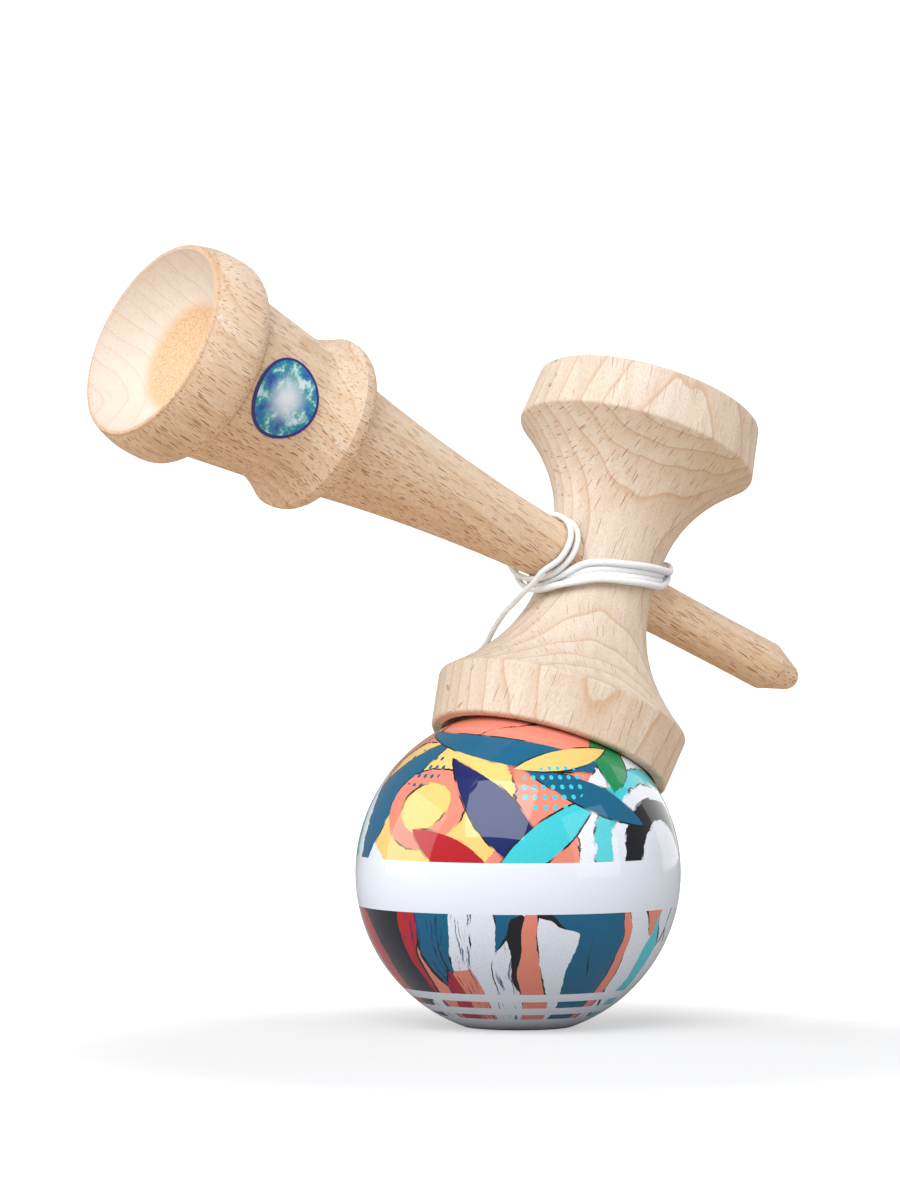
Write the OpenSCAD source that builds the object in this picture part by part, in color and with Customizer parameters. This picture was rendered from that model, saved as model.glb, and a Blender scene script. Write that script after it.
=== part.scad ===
// Kendama balanced on its ball: the ball stands on the flat round its hole, the big cup of the
// cross-piece sits on the ball, and the ken goes through the cross-piece's neck.
// Millimetres, +Z up, origin at the centre of the ball's foot, +X along the ken towards its spike.

/* [Tama] */
// Diameter of the ball
ball_d = 60; // [58:1:62]
// Diameter of the flat foot round the hole
foot_d = 20; // [19.6:0.2:22]
// Diameter of the spike hole
spike_hole_d = 16.6; // [15:0.2:17]
// Height of the spike hole's straight wall above the foot
spike_hole_top = 31; // [30:0.5:31]
// Width and height of the bevel at the hole's mouth
hole_bevel = 0.9; // [0.5:0.1:1]
// Diameter of the bead's chamber above the spike hole
chamber_d = 11; // [10:0.5:12]
// Height of the chamber's straight wall above the foot
chamber_top = 40; // [40:0.5:41]
// Diameter of the string hole at the top of the ball
string_hole_d = 2.6; // [2.2:0.1:3]
// Depth of the countersink round the string hole
string_hole_sink = 1.7; // [1.5:0.1:2.5]

/* [Sarado] */
// Distance from the ken's axis to the big cup's mouth
neck_to_big = 36.5; // [35:0.5:38]
// Distance from the ken's axis to the small cup's mouth
neck_to_small = 36.2; // [35:0.2:38]
// Diameter of the neck
neck_d = 21.1; // [20:0.1:22]
// Diameter of the big cup at the back edge of its band
big_cup_d = 47.6; // [46:0.2:49]
// Outer diameter of the big cup's mouth
big_mouth_d = 45; // [44:0.2:46]
// Inner diameter of the big cup's mouth
big_inner_d = 41.2; // [40.8:0.2:41.6]
// Depth of the big cup
big_depth = 10.8; // [10.4:0.2:12]
// Length of the band round the big cup
big_band = 10; // [9:0.5:11]
// Diameter of the small cup at the back edge of its band
small_cup_d = 45.4; // [44:0.2:47]
// Outer diameter of the small cup's mouth
small_mouth_d = 42.8; // [42:0.2:44]
// Inner diameter of the small cup's mouth
small_inner_d = 38; // [36:0.5:39]
// Depth of the small cup
small_depth = 9.5; // [8:0.5:11]
// Length of the band round the small cup
small_band = 10; // [9:0.5:11]
// How late the flare to the big cup opens
big_flare_power = 2.4; // [2:0.1:3]
// How late the flare to the small cup opens
small_flare_power = 2.6; // [2:0.1:3]
// Radial clearance of the ken in the neck
ken_fit = 0.15; // [0.1:0.05:0.3]

/* [Ken] */
// Length of the ken from the base cup's mouth to the spike's tip
ken_len = 159; // [155:1:164]
// Distance from the base cup's mouth to the sarado's axis
base_to_axis = 108; // [106:1:110]
// Outer diameter of the base cup's mouth
base_mouth_d = 36.8; // [36.6:0.2:37.4]
// Inner diameter of the base cup's mouth
base_inner_d = 35.4; // [33:0.2:35.6]
// Depth of the base cup
base_depth = 10; // [8:0.5:12]
// Largest diameter of the base cup's rounded flange
flange_d = 39.6; // [38:0.2:41]
// Diameter of the waist beside the flange
waist_big_d = 32.2; // [31:0.2:33]
// Diameter of the waist beside the collar
waist_small_d = 27.8; // [27:0.2:29]
// Diameter of the collar
collar_d = 33.2; // [32:0.2:35]
// Diameter of the shaft where it leaves the collar
shaft_d = 24; // [22:0.5:26]
// Diameter of the spike where its tip begins
spike_d = 9.4; // [9:0.1:9.8]
// How early the shaft slims down
shaft_power = 2.87; // [2.5:0.01:3.2]
// Radius of the rounded end of the spike
tip_r = 2.6; // [2:0.1:3]
// Diameter of the label on the waist
sticker_d = 14.6; // [10:0.2:15]

/* [String] */
// Diameter of the string
string_d = 1.1; // [0.9:0.05:1.1]
// Distance between neighbouring turns of the winding
string_pitch = 1.62; // [1.62:0.02:1.7]
// Height of the outer turns over the inner ones
layer_step = 1.62; // [1.62:0.02:1.8]
// Distance between the two turns round the ken
loop_pitch = 1.8; // [1.6:0.1:2]

/* [Pose] */
// Rise of the ken towards its base cup, in degrees
lean = 23.2; // [20:0.2:26]
// Lean of the sarado across the ken, in degrees
roll = 5; // [3:0.5:7]
// Lift of the big cup on the ball and the string
seat_lift = 1.07; // [1.05:0.01:1.3]
// Sideways shift of the big cup towards the string
seat_shift = 0.9; // [0.85:0.01:1]

/* [Hidden] */
$fn = 96;

// Place of the ball, and of the point where the axes of the ken and the sarado cross
ball_z = sqrt(pow(ball_d / 2, 2) - pow(foot_d / 2, 2));
seat_h = sqrt(pow(ball_d / 2, 2) - pow(big_inner_d / 2, 2)) + seat_lift;
crossing = [0, 0, ball_z] + turned([0, seat_shift, seat_h + neck_to_big]);

// Stations along the ken, from the base cup's mouth
flange_crest = 6.5;
flange_end = 13.4;
waist_end = 29.5;
collar_crest = 36.5;
collar_end = 39.9;
collar_round = 2;
tip_start = 151.2;
tip_round_start = ken_len - tip_r + 0.6;
flange_power = 4.5;
flare_power = 1.6;

// Label on the waist
sticker_t = 0.2;
sticker_s = 21.6;
sticker_angle = 284;

// Edges of the turned wood
rim_round = 0.7;
ken_rim_round = 0.4;
band_round = 0.8;

// Bead, drill points and knots
bead_d = 8;
bead_hole_d = 1.6;
bead_h = 7.2;
drill_slope = 0.6;
bead_gap = 0.35;
bead_z = chamber_top + drill_slope * chamber_d / 2 - bead_d / 2 / cos(atan(drill_slope)) - bead_gap;
knot_round = 0.5;
bead_knot = [3.2, 2.6];
sarado_knot = [3, 1.6];

// String hole in the neck: the knot's seat, the bore and its countersunk mouth
knot_face = 7.5;
seat_d = 3.5;
neck_hole_d = 1.4;
neck_hole_sink = 1.4;
bend_r = 1.6;

// Winding: a band that dips under the ken and climbs over the spike, then turns round the ken
string_clear = 0.2;
ken_clear = 0.3;
band_drop = -0.37;
band_waves = [5.95, 1.15, 0.3];
wound_r = neck_d / 2 + string_clear + string_d / 2;
inner_turns = 2;
band_turns = 3.75;
climb_start = 1.95;
climb_turns = 0.25;
spread_front = 80;
spread_edge = 0.35;
spread_fade = 0.45;
lap = 0.8;
layer_drop = 0.5;
loop_sway = 2.2;
loop_front = 250;
loop_end = 660;
loop_settle = 90;
turn_rings = 24;
wound_sides = 6;
tail_sides = 8;
tail_gap = 0.05;

// Route of the tail from the bead's knot, through the ball, under the big cup's rim and up its flare
tail_points = [
    [0, 0, 37.4], [0, 0, 40.2], [0, 0, 43], [0, 0, 45.8], [0, 0, 48.6], [0, 0, 51.4], [0, 0, 54.2],
    [0, 0, 56.8], [0, 0.3, 57.9], [0.2, 1.1, 58.7], [0.3, 2.2, 59], [0.7, 4.8, 58.8], [1.1, 7.5, 58.2],
    [1.6, 10.4, 57.3], [2, 13.3, 56.1], [2.5, 16.1, 54.5], [2.9, 18.6, 52.6], [3.2, 21, 50.4],
    [2.8, 22.7, 48.7], [2.2, 24.3, 48], [2, 25.6, 48.6], [2.2, 26.4, 50.1], [2.7, 26.9, 52.7],
    [3, 26.9, 56.1], [3, 26.5, 59.4], [2.9, 25.4, 61.6], [2.9, 23.4, 63.4], [3.4, 20.6, 65.9],
    [3.9, 17.9, 68.4], [4.3, 15.7, 70.6], [4.1, 13.8, 72.5], [4.2, 12, 74.4], [4.4, 10.1, 76.2],
    [5.2, 8.1, 78.1], [5.3, 5.4, 79.9], [5.8, 3, 81.7], [6.6, 1.4, 83.7]
];

// Vectors
function unit(p) = p / norm(p);
function ease(k) = let (c = max(0, min(1, k))) c * c * (3 - 2 * c);
function across(t) = unit(cross(t, abs(t.z) < 0.9 ? [0, 0, 1] : [1, 0, 0]));
function turned(p) =
    let (y = p.y * cos(roll) + p.z * sin(roll), z = p.z * cos(roll) - p.y * sin(roll))
    [p.x * cos(lean) + z * sin(lean), y, z * cos(lean) - p.x * sin(lean)];

// Corner b of a profile, rounded to radius r between its neighbours a and c
function corner(a, b, c, r, n = 5) =
    let (u = unit(a - b), w = unit(c - b), half = acos(u * w) / 2,
         centre = b + unit(u + w) * r / sin(half),
         p = b + u * r / tan(half) - centre, q = b + w * r / tan(half) - centre)
    [for (k = [0:n]) centre + r * unit(p * (n - k) + q * k)];

// Radius of the neck and its flares at height z on the sarado's axis
function flare_r(z) =
    let (up = z > 0, len = up ? neck_to_small - small_band : neck_to_big - big_band,
         back = (up ? small_cup_d : big_cup_d) / 2)
    neck_d / 2 + (back - neck_d / 2) * pow(abs(z) / len, up ? small_flare_power : big_flare_power);

// Radius of the ken's shaft at distance s from the base cup's mouth
function shaft_r(s) =
    let (k = max(0, min(1, (s - collar_end) / (tip_start - collar_end))))
    spike_d / 2 + (shaft_d - spike_d) / 2 * pow(1 - k, shaft_power);

// Radius of a spherical cup from its mouth's radius and its depth
function dish_r(mouth_r, depth) = (pow(mouth_r, 2) + pow(depth, 2)) / (2 * depth);

// Outline of the sarado as [radius, height], from the big cup's mouth to the small cup's
function sarado_outline() =
    let (big_rim = [big_mouth_d / 2, -neck_to_big], small_rim = [small_mouth_d / 2, neck_to_small],
         big_back = [big_cup_d / 2, big_band - neck_to_big],
         small_back = [small_cup_d / 2, neck_to_small - small_band], n = 24,
         flare = [for (k = [1:n - 1]) let (z = big_back.y + (small_back.y - big_back.y) * k / n)
                  [flare_r(z), z]])
    concat([[0, -neck_to_big]],
           corner([0, -neck_to_big], big_rim, big_back, rim_round),
           corner(big_rim, big_back, flare[0], band_round),
           flare,
           corner(flare[n - 2], small_back, small_rim, band_round),
           corner(small_back, small_rim, [0, neck_to_small], rim_round),
           [[0, neck_to_small]]);

// Outline of the ken as [radius, distance from the base cup's mouth]
function ken_outline() =
    let (mouth = base_mouth_d / 2, crest = flange_d / 2, w0 = waist_big_d / 2, w1 = waist_small_d / 2,
         collar = collar_d / 2, n = 8, shaft_n = 28,
         front = [for (k = [1:n]) [mouth + (crest - mouth) * (1 - pow(1 - k / n, 2)), flange_crest * k / n]],
         back = [for (k = [1:n]) [crest - (crest - w0) * pow(k / n, flange_power),
                                  flange_crest + (flange_end - flange_crest) * k / n]],
         flare = [for (k = [0:n]) [w1 + (collar - w1) * pow(k / n, flare_power),
                                   waist_end + (collar_crest - waist_end) * k / n]],
         round_over = [for (a = [15:15:90]) [collar - collar_round * (1 - cos(a)),
                                             collar_crest + (collar_end - collar_crest) * sin(a)]],
         shaft = [for (k = [0:shaft_n]) let (s = collar_end + (tip_start - collar_end) * k / shaft_n)
                  [shaft_r(s), s]],
         tip = [for (k = [0:5]) let (s = tip_round_start + (ken_len - tip_round_start) * sin(18 * k))
                [sqrt(max(0, pow(tip_r, 2) - pow(s - ken_len + tip_r, 2))), s]])
    concat([[0, 0]], corner([0, 0], [mouth, 0], front[0], ken_rim_round),
           front, back, flare, round_over, shaft, tip);

// Winding in the sarado's frame: a is the angle round the neck from the base cup's side to the front,
// t counts turns from the string hole at the back. Two inner turns, then two that lie over them and
// spread beside them at the front.
function band_angle(t) = -90 - 360 * t;
function band_mid(a) = band_drop - band_waves * [cos(a), cos(3 * a), cos(5 * a)];
function band_slope(a) = band_waves * [sin(a), 3 * sin(3 * a), 5 * sin(5 * a)] / wound_r;
function spread(t) = ease((cos(band_angle(t) - spread_front) - spread_edge) / spread_fade);
function band_offset(t) =
    let (f = t < inner_turns ? 0 : spread(t), beside = t < inner_turns + 1 ? t - 2 + lap : t - 4 - lap)
    string_pitch * (t < inner_turns ? t - 1 : (1 - f) * (3 - t) + f * beside);
function band_z(t) =
    let (a = band_angle(t))
    band_mid(a) + band_offset(t) * sqrt(1 + pow(band_slope(a), 2));
function band_layer(t) =
    let (up = ease((t - climb_start) / climb_turns))
    up * (layer_step - layer_drop * pow(spread(t), 4));
function band_r(t) = flare_r(band_z(t)) + string_clear + string_d / 2 + band_layer(t);
function band_point(t, r) = let (a = band_angle(t)) [-r * cos(a), -r * sin(a), band_z(t)];

// Turns round the ken: b is the angle from its underside, round its back
function loop_x(b) =
    -band_r(band_turns) + loop_sway * (cos(b - loop_front) - cos(loop_front)) - loop_pitch * b / 360;
function loop_rest_r(b) = shaft_r(loop_x(b) + base_to_axis) + ken_clear + string_d / 2;
function loop_r(b) =
    loop_rest_r(b) + (-band_z(band_turns) - loop_rest_r(0)) * (1 - ease(b / loop_settle));
function loop_point(b) = let (r = loop_r(b)) [loop_x(b), r * sin(b), -r * cos(b)];
loop_last = loop_point(loop_end);
loop_heading = unit(loop_point(loop_end + 1) - loop_point(loop_end - 1));

// The whole winding: out of the string hole, round the neck, round the ken
function winding_points() =
    let (start_r = band_r(0), hole_turn = bend_r / (2 * PI * start_r), step = 1 / turn_rings)
    concat([band_point(0, knot_face), band_point(0, knot_face + string_d)],
           [for (a = [0:30:90]) band_point(hole_turn * (1 - cos(a)), start_r - bend_r * (1 - sin(a)))],
           [for (t = [hole_turn + step:step:band_turns]) band_point(t, band_r(t))],
           [for (b = [0:360 / turn_rings:loop_end - 10]) loop_point(b)],
           [loop_last, loop_last + loop_heading * string_d]);

// The tail in the part's own frame, up to the winding's end
function tail_route() =
    let (meet = loop_last + loop_heading * (string_d + tail_gap))
    concat([[0, 0, bead_z - bead_h / 2]], tail_points,
           [for (k = [1, 0]) crossing + turned(meet + loop_heading * string_d * k)]);

// Least distance between the surfaces of a wound tube's strands
function segment_gap(q, a, b) =
    let (d = b - a)
    norm(q - a - d * max(0, min(1, (q - a) * d / (d * d))));
function least_gap(p, d, skip) =
    min([for (i = [0:len(p) - 1]) for (j = [0:len(p) - 2])
         if (abs(i - j) > skip && abs(i - j - 1) > skip) segment_gap(p[i], p[j], p[j + 1])]) - d;
function route_length(p) =
    let (steps = [for (k = [1:len(p) - 1]) norm(p[k] - p[k - 1])])
    steps * [for (step = steps) 1];

winding = winding_points();
echo(least_gap_of_winding_mm = least_gap(winding, string_d, turn_rings / 3));
echo(winding_length_mm = route_length(winding), tail_length_mm = route_length(tail_route()));

// A tube of triangles swept along points, with its rings turned as little as possible
module tube(p, d, sides) {
    last = len(p) - 1;
    heading = [for (i = [0:last]) unit(p[min(i + 1, last)] - p[max(i - 1, 0)])];
    side = [for (i = 0, s = across(heading[0]); i <= last; i = i + 1,
                 s = i > last ? s : unit(s - (s * heading[i]) * heading[i])) s];
    ring = [for (i = [0:last]) for (j = [0:sides - 1]) let (a = 360 * j / sides)
            p[i] + d / 2 * (cos(a) * side[i] + sin(a) * cross(heading[i], side[i]))];
    walls = [for (i = [0:last - 1]) for (j = [0:sides - 1])
             let (k = (j + 1) % sides, lo = i * sides, hi = lo + sides)
             each [[lo + j, hi + j, hi + k], [lo + j, hi + k, lo + k]]];
    ends = [for (j = [1:sides - 2])
            each [[0, j, j + 1], [last * sides, last * sides + j + 1, last * sides + j]]];
    polyhedron(points = ring, faces = concat(walls, ends));
}

// A knot as a short rounded barrel standing on z = 0, size = [diameter, height]
module knot(size) {
    low = [size[0] / 2, 0];
    high = [size[0] / 2, size[1]];
    rotate_extrude()
        polygon(concat([[0, 0]], corner([0, 0], low, high, knot_round),
                       corner(low, high, [0, size[1]], knot_round), [[0, size[1]]]));
}

// Puts the sarado's frame, with Z along its axis and X along the ken, in its place on the ball
module on_ball() {
    translate(crossing) rotate([-roll, lean, 0]) children();
}

// Puts the ken's frame, with Z along its axis from the base cup's mouth, in its place in the sarado
module in_sarado() {
    on_ball() translate([-base_to_axis, 0, 0]) rotate([0, 90, 0]) children();
}

// A ball-shaped hollow of the given mouth radius and depth, opening downwards at z = 0
module dish(mouth_r, depth) {
    r = dish_r(mouth_r, depth);
    translate([0, 0, depth - r]) sphere(r);
}

module ken() {
    color("burlywood") in_sarado() difference() {
        rotate_extrude() polygon(ken_outline());
        dish(base_inner_d / 2, base_depth);
    }
}

// Tapered hole that the ken's shaft seats in, through the neck
module ken_bore() {
    reach = neck_d / 2 + 4;
    stations = [for (x = [-reach:2:reach]) [shaft_r(x + base_to_axis) + ken_fit, x]];
    rotate([0, 90, 0]) rotate_extrude()
        polygon(concat([[0, stations[0].y]], stations, [[0, stations[len(stations) - 1].y]]));
}

// String hole at the back of the neck, with the knot's seat inside and a countersunk mouth
module neck_string_hole() {
    mouth = neck_d / 2;
    translate([0, 0, band_z(0)]) rotate([-90, 0, 0]) {
        cylinder(d = seat_d, h = knot_face);
        cylinder(d = neck_hole_d, h = mouth + 1);
        translate([0, 0, mouth - neck_hole_sink])
            cylinder(d1 = neck_hole_d, d2 = neck_hole_d + 4 * neck_hole_sink, h = 2 * neck_hole_sink);
    }
}

module sarado() {
    color("wheat") on_ball() difference() {
        rotate_extrude() polygon(sarado_outline());
        translate([0, 0, -neck_to_big]) dish(big_inner_d / 2, big_depth);
        translate([0, 0, neck_to_small]) mirror([0, 0, 1]) dish(small_inner_d / 2, small_depth);
        ken_bore();
        neck_string_hole();
    }
}

// Hollows of the ball along its axis, from the foot up
module tama_hollows() {
    r = spike_hole_d / 2;
    chamber_r = chamber_d / 2;
    top = ball_z + ball_d / 2;
    translate([0, 0, -1]) cylinder(r = r, h = spike_hole_top + 1);
    translate([0, 0, -hole_bevel]) cylinder(r1 = r + 2 * hole_bevel, r2 = r, h = 2 * hole_bevel);
    translate([0, 0, spike_hole_top]) cylinder(r1 = r, r2 = chamber_r, h = drill_slope * (r - chamber_r));
    cylinder(r = chamber_r, h = chamber_top);
    translate([0, 0, chamber_top]) cylinder(r1 = chamber_r, r2 = 0, h = drill_slope * chamber_r);
    cylinder(d = string_hole_d, h = top + 1);
    translate([0, 0, top - string_hole_sink])
        cylinder(d1 = string_hole_d, d2 = string_hole_d + 4 * string_hole_sink, h = 2 * string_hole_sink);
}

module tama() {
    color("white") difference() {
        translate([0, 0, ball_z]) sphere(d = ball_d);
        translate([0, 0, -ball_d / 2]) cube(ball_d, center = true);
        tama_hollows();
    }
}

module tama_bead() {
    color("tan") translate([0, 0, bead_z]) difference() {
        intersection() {
            sphere(d = bead_d);
            cylinder(d = bead_d, h = bead_h, center = true);
        }
        cylinder(d = bead_hole_d, h = bead_d, center = true);
    }
}

module string_winding() {
    color("whitesmoke") on_ball() tube(winding, string_d, wound_sides);
}

module string_tail() {
    color("whitesmoke") tube(tail_route(), string_d, tail_sides);
}

module string_bead_knot() {
    color("whitesmoke") translate([0, 0, bead_z - bead_h / 2 - bead_knot[1]]) knot(bead_knot);
}

module string_sarado_knot() {
    color("whitesmoke") on_ball() translate([0, knot_face - sarado_knot[1], band_z(0)])
        rotate([-90, 0, 0]) knot(sarado_knot);
}

// Label cut from a thin skin over the waist's cone
module ken_sticker() {
    slope = (waist_big_d - waist_small_d) / 2 / (waist_end - flange_end);
    low = sticker_s - sticker_d / 2;
    high = sticker_s + sticker_d / 2;
    r_low = waist_big_d / 2 - slope * (low - flange_end);
    r_high = waist_big_d / 2 - slope * (high - flange_end);
    color("steelblue") in_sarado() intersection() {
        rotate_extrude()
            polygon([[r_low, low], [r_low + sticker_t, low], [r_high + sticker_t, high], [r_high, high]]);
        rotate([0, 0, sticker_angle]) translate([0, 0, sticker_s]) rotate([0, 90, 0])
            cylinder(d = sticker_d, h = waist_big_d);
    }
}

ken();
sarado();
tama();
tama_bead();
string_winding();
string_tail();
string_bead_knot();
string_sarado_knot();
ken_sticker();
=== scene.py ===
"""Looks of a kendama that stands balanced on its ball: wood, lacquer, string, label and studio."""

import logging
import math
from dataclasses import dataclass
from enum import Enum
from typing import Sequence, Union

import bpy
import numpy as np
from mathutils import Matrix, Vector


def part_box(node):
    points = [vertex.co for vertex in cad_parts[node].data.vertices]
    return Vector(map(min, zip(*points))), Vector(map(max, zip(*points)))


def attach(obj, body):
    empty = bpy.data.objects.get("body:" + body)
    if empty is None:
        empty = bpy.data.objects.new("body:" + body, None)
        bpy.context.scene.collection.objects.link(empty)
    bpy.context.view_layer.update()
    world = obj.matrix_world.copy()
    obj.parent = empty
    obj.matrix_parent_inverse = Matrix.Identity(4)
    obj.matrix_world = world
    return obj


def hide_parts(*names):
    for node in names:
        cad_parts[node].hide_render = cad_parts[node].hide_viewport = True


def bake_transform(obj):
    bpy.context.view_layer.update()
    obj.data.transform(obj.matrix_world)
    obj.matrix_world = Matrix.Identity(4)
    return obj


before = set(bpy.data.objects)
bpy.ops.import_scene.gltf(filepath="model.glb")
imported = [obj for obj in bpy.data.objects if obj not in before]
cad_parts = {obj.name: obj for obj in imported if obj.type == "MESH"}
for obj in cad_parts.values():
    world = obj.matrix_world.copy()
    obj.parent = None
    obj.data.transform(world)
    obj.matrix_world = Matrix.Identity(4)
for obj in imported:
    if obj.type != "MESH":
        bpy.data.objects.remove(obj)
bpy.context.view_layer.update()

LOG = logging.getLogger("kendama")
MM = 0.001
WELD_GAP = 1e-6
LEAST_LENGTH = 1e-6
SHARP_ANGLE = math.radians(24)
TO_CAMERA = Vector((-0.5782, -0.8158, 0.0097))
FRONT = Vector((TO_CAMERA.x, TO_CAMERA.y, 0)).normalized()
LIGHTS_AIM = Vector((0, 0, 0.08))
WHITE_LIGHT = (1.0, 1.0, 1.0)

Socket = bpy.types.NodeSocket
Node = bpy.types.Node
Thing = bpy.types.Object
Material = bpy.types.Material
Feed = Union[Socket, float, Sequence[float]]
Colour = tuple[float, float, float]
Point = tuple[float, float, float]


def linear(red: int, green: int, blue: int) -> Colour:
    """A display colour of 0 to 255 as the linear light that shaders work in."""
    parts = [channel / 255 for channel in (red, green, blue)]
    return tuple(c / 12.92 if c <= 0.04045 else ((c + 0.055) / 1.055) ** 2.4 for c in parts)


class Op(Enum):
    """Arithmetic that the shader graphs use, with numbers and with vectors."""

    ADD = "ADD"
    SUBTRACT = "SUBTRACT"
    MULTIPLY = "MULTIPLY"
    DIVIDE = "DIVIDE"
    ABSOLUTE = "ABSOLUTE"
    FRACTION = "FRACT"
    LESS = "LESS_THAN"
    GREATER = "GREATER_THAN"
    MAXIMUM = "MAXIMUM"
    ARCSINE = "ARCSINE"
    COSINE = "COSINE"
    SINE = "SINE"
    ARCTAN2 = "ARCTAN2"
    DOT = "DOT_PRODUCT"
    LENGTH = "LENGTH"
    NORMALIZE = "NORMALIZE"


class Cell(Enum):
    """What is read from a scatter of cells."""

    NEAREST = "F1"
    EDGE = "DISTANCE_TO_EDGE"


class Graph:
    """A material's node graph, with short calls for the nodes that the finishes share."""

    def __init__(self, name: str) -> None:
        """Makes an empty material with a principled shader.

        Args:
            name: The material's name.
        """
        self.material = bpy.data.materials.new(name)
        self.material.use_nodes = True
        self.tree = self.material.node_tree
        self.tree.nodes.clear()
        self.shader = self.tree.nodes.new("ShaderNodeBsdfPrincipled")
        output = self.tree.nodes.new("ShaderNodeOutputMaterial")
        self.tree.links.new(self.shader.outputs["BSDF"], output.inputs["Surface"])
        self._coords = self.tree.nodes.new("ShaderNodeTexCoord")

    def feed(self, socket: Socket, value: Feed) -> None:
        """Links a socket to another one, or sets its value.

        Args:
            socket: The input to fill.
            value: An output socket, a number or a vector.
        """
        if isinstance(value, Socket):
            self.tree.links.new(value, socket)
        elif socket.type == "RGBA" and len(value) == 3:
            socket.default_value = (*value, 1.0)
        else:
            socket.default_value = value

    def node(self, kind: str, inputs: dict[Union[int, str], Feed], **settings: str) -> Node:
        """Makes a node, sets it up and fills its inputs.

        Args:
            kind: The node's type, without its prefix.
            inputs: Numbers or names of its sockets, and their values.
            settings: Names of its own settings, and their values.

        Returns:
            The node.
        """
        node = self.tree.nodes.new("ShaderNode" + kind)
        for name, value in settings.items():
            setattr(node, name, value)
        for socket, value in inputs.items():
            self.feed(node.inputs[socket], value)
        return node

    def surface(self, **inputs: Feed) -> None:
        """Fills inputs of the principled shader, named with underscores for spaces."""
        for name, value in inputs.items():
            self.feed(self.shader.inputs[name.replace("_", " ")], value)

    @property
    def place(self) -> Socket:
        """The point on the piece, in metres."""
        return self._coords.outputs["Object"]

    @property
    def facing(self) -> Socket:
        """The way the surface faces, in the piece's own frame."""
        return self._coords.outputs["Normal"]

    def math(self, op: Op, a: Feed, b: Feed = 0.0) -> Socket:
        """One step of arithmetic."""
        return self.node("Math", {0: a, 1: b}, operation=op.value).outputs[0]

    def times(self, a: Feed, b: Feed) -> Socket:
        """The product of two numbers."""
        return self.math(Op.MULTIPLY, a, b)

    def plus(self, a: Feed, b: Feed) -> Socket:
        """The sum of two numbers."""
        return self.math(Op.ADD, a, b)

    def minus(self, a: Feed, b: Feed) -> Socket:
        """The difference of two numbers."""
        return self.math(Op.SUBTRACT, a, b)

    def lift(self, share: Socket, low: float) -> Socket:
        """A share of 0 to 1, raised so that it goes from low to 1."""
        return self.plus(self.times(share, 1 - low), low)

    def between(self, value: Socket, low: float, high: float) -> Socket:
        """1 where a value lies between two others, and 0 elsewhere."""
        return self.times(self.math(Op.GREATER, value, low), self.math(Op.LESS, value, high))

    def vector(self, op: Op, a: Feed, b: Feed = (0.0, 0.0, 0.0)) -> Socket:
        """One step of vector arithmetic, with a number as the result for a product or a length."""
        node = self.node("VectorMath", {0: a, 1: b}, operation=op.value)
        return node.outputs["Value" if op in (Op.DOT, Op.LENGTH) else "Vector"]

    def away(self, point: Sequence[float]) -> Socket:
        """Distance of the place from a point, in metres."""
        return self.vector(Op.LENGTH, self.vector(Op.SUBTRACT, self.place, tuple(point)))

    def combine(self, x: Feed, y: Feed, z: Feed = 0.0) -> Socket:
        """Three numbers as one vector."""
        return self.node("CombineXYZ", {0: x, 1: y, 2: z}).outputs[0]

    def split(self, vector: Socket) -> list[Socket]:
        """The three numbers of a vector."""
        return list(self.node("SeparateXYZ", {0: vector}).outputs)

    def noise(self, place: Socket, scale: float, detail: float = 3.0, roughness: float = 0.5) -> Socket:
        """Soft noise from 0 to 1, its scale in waves per unit of place and its detail in octaves."""
        inputs = {"Vector": place, "Scale": scale, "Detail": detail, "Roughness": roughness}
        return self.node("TexNoise", inputs).outputs[0]

    def waves(self, place: Socket, rates: Point, detail: float, roughness: float = 0.5) -> Socket:
        """Soft noise from 0 to 1, with its own waves per unit along each axis."""
        return self.noise(self.vector(Op.MULTIPLY, place, rates), 1.0, detail, roughness)

    def cells(self, grid: Socket, read: Cell) -> Node:
        """A scatter of cells, one in each unit of a grid."""
        return self.node("TexVoronoi", {"Vector": grid, "Scale": 1.0}, feature=read.value)

    def step(self, value: Socket, low: Feed, high: Feed) -> Socket:
        """A smooth step from 0 at low to 1 at high, which may be the smaller one."""
        inputs = {"Value": value, "From Min": low, "From Max": high}
        return self.node("MapRange", inputs, interpolation_type="SMOOTHSTEP").outputs["Result"]

    def ramp(self, value: Socket, stops: Sequence[tuple[float, Colour]], stepped: bool = False) -> Socket:
        """A colour read from a row of stops.

        Args:
            value: Where the row is read, from 0 to 1.
            stops: Each stop's place and colour.
            stepped: Whether colours change in steps.

        Returns:
            The colour.
        """
        node = self.node("ValToRGB", {0: value})
        row = node.color_ramp
        row.interpolation = "CONSTANT" if stepped else "LINEAR"
        while len(row.elements) < len(stops):
            row.elements.new(0.5)
        for element, (place, colour) in zip(row.elements, stops):
            element.position = place
            element.color = (*colour, 1.0)
        return node.outputs[0]

    def mix(self, share: Feed, a: Feed, b: Feed) -> Socket:
        """Two colours mixed, with so much of the second."""
        return self.node("Mix", {"Factor": share, 6: a, 7: b}, data_type="RGBA").outputs[2]

    def bump(self, height: Socket, depth: float, strength: float) -> None:
        """Gives the shader a relief of a depth in metres."""
        node = self.node("Bump", {"Height": height, "Distance": depth, "Strength": strength})
        self.tree.links.new(node.outputs[0], self.shader.inputs["Normal"])


@dataclass(frozen=True)
class CupWood:
    """Sanded end grain inside a cup, the rough patch at its bottom, and painted shade lines in the creases
    at the shoulders behind it. Metres.
    """

    ball_centre: Vector
    ball_radius: float
    mouth: Vector
    axis: Vector
    bottom: Vector
    patch_radius: float
    pale: Colour
    patch: Colour
    speck: Colour
    # Depths from the mouth of the creases that get a thin painted shade line.
    shaded_crease_depths: tuple[float, ...]
    rim_share: float = 0.5
    crease_shade_share: float = 0.6
    pale_share: float = 0.74
    ring_share: float = 0.18
    sanded_share: float = 0.78
    ragged: float = 0.0035


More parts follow.
